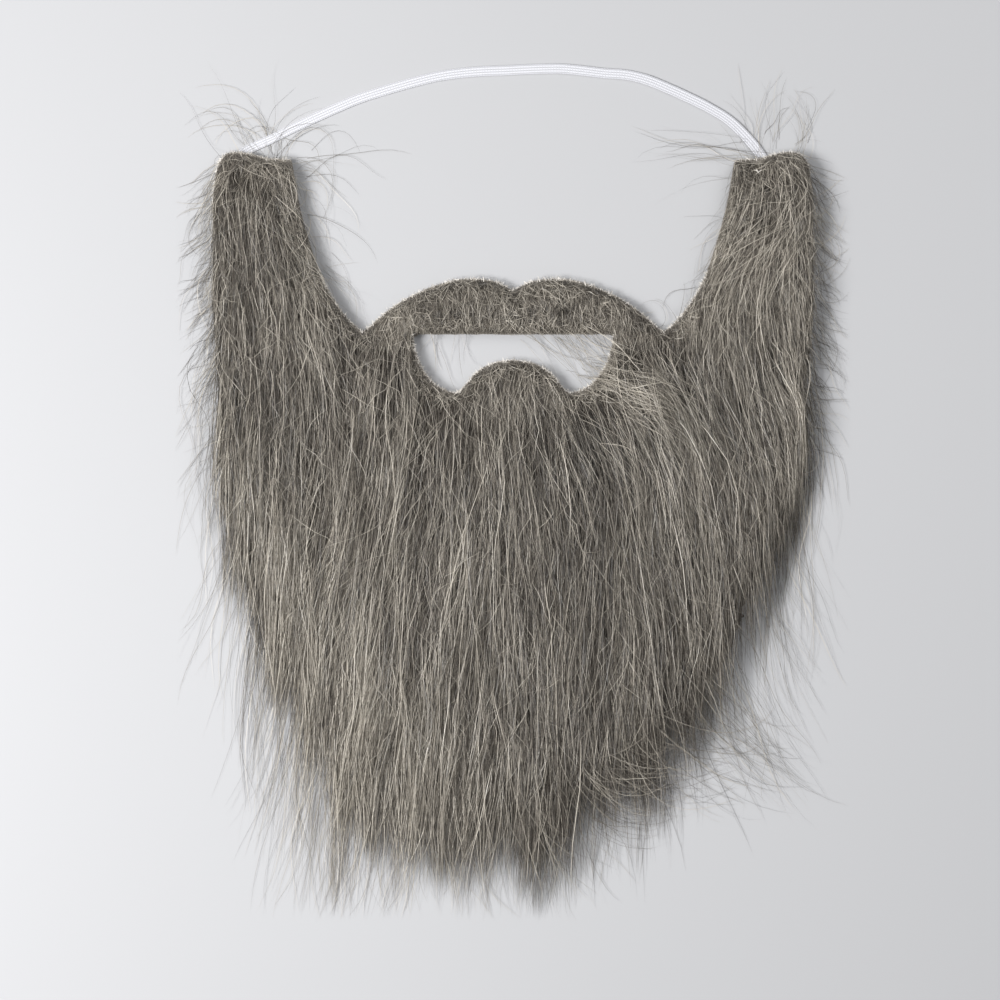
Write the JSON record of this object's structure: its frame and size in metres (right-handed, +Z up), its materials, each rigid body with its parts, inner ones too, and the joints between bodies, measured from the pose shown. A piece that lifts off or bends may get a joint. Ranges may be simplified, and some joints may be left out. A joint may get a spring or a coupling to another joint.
{
  "type": "fake beard",
  "caption": "Full fake beard of long-pile fur fabric with moustache, open mouth and side tabs, lying flat with its elastic strap laid out in an arc above it.",
  "frame": {"origin": "on the underside of the backing cloth, on the centre line under the middle of the chin, where the part lies on a surface", "axes": "+Y towards the side tabs and the strap, +X to the right of the beard seen from above with the tabs at the top, +Z up out of the surface through the fur"},
  "size_m": [0.2404, 0.3284, 0.0128],
  "materials": {
    "backing_knit": "matt knitted pile backing with a cut edge",
    "long_fur": "long synthetic fibres, taupe grey, softly glossy along the strands",
    "short_fur": "trimmed synthetic fibres, taupe grey, satin",
    "white_elastic": "matt ribbed braided elastic"
  },
  "bodies": {
    "root": {"backing_cloth": "backing_knit", "beard_fur": "long_fur", "moustache_fur": "short_fur", "elastic_strap": "white_elastic"}
  },
  "joints": []
}
